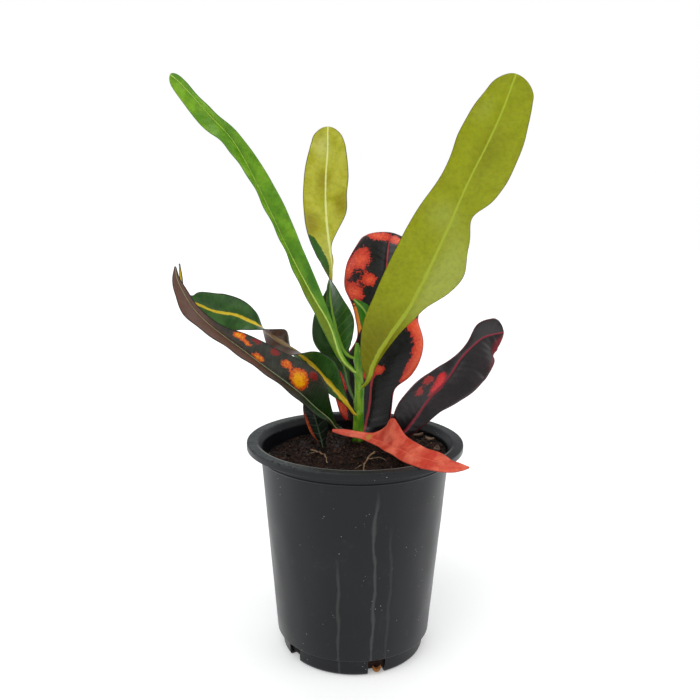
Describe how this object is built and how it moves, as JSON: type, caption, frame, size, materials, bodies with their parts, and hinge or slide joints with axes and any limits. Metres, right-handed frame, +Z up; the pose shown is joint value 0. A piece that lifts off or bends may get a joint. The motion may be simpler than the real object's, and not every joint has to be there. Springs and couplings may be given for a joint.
{
  "type": "potted croton",
  "caption": "Young croton with strap, twisted and spotted leaves on a short green stem, standing in potting mix in a round black nursery pot with a flat rim and drain slots.",
  "frame": {"origin": "centre of the pot's base on the plane it stands on", "axes": "+Z up along the pot's axis; -Y is the side the plant is looked at from, +X to the viewer's right"},
  "size_m": [0.2049, 0.1309, 0.3428],
  "materials": {
    "pot_plastic": "satin",
    "potting_mix": "matte",
    "stem_green": "satin",
    "leaf_green": "satin",
    "leaf_olive": "satin",
    "leaf_yellow_green": "satin",
    "leaf_dark_coral": "gloss",
    "leaf_dark_green": "gloss",
    "leaf_mid_green": "satin",
    "leaf_spotted": "gloss",
    "leaf_maroon": "gloss",
    "leaf_coral": "matte",
    "root": "matte",
    "bark": "matte"
  },
  "bodies": {
    "root": {"nursery_pot": "pot_plastic", "potting_mix": "potting_mix", "stem": "stem_green", "leaf_left_tall": "leaf_green", "leaf_mid_twisted": "leaf_olive", "leaf_right_big": "leaf_yellow_green", "leaf_back_coral_dark": "leaf_dark_coral", "leaf_back_left": "leaf_dark_green", "leaf_young_tip": "leaf_green", "leaf_left_upper": "leaf_mid_green", "leaf_left_spotted": "leaf_spotted", "leaf_low_front_left": "leaf_dark_green", "leaf_right_dark": "leaf_maroon", "leaf_fallen_coral": "leaf_coral", "surface_root_front": "root", "surface_root_left": "root", "bark_chip_back": "bark", "bark_chip_mid": "bark", "bark_chip_rim": "bark", "bark_chip_slot": "bark"}
  },
  "joints": []
}
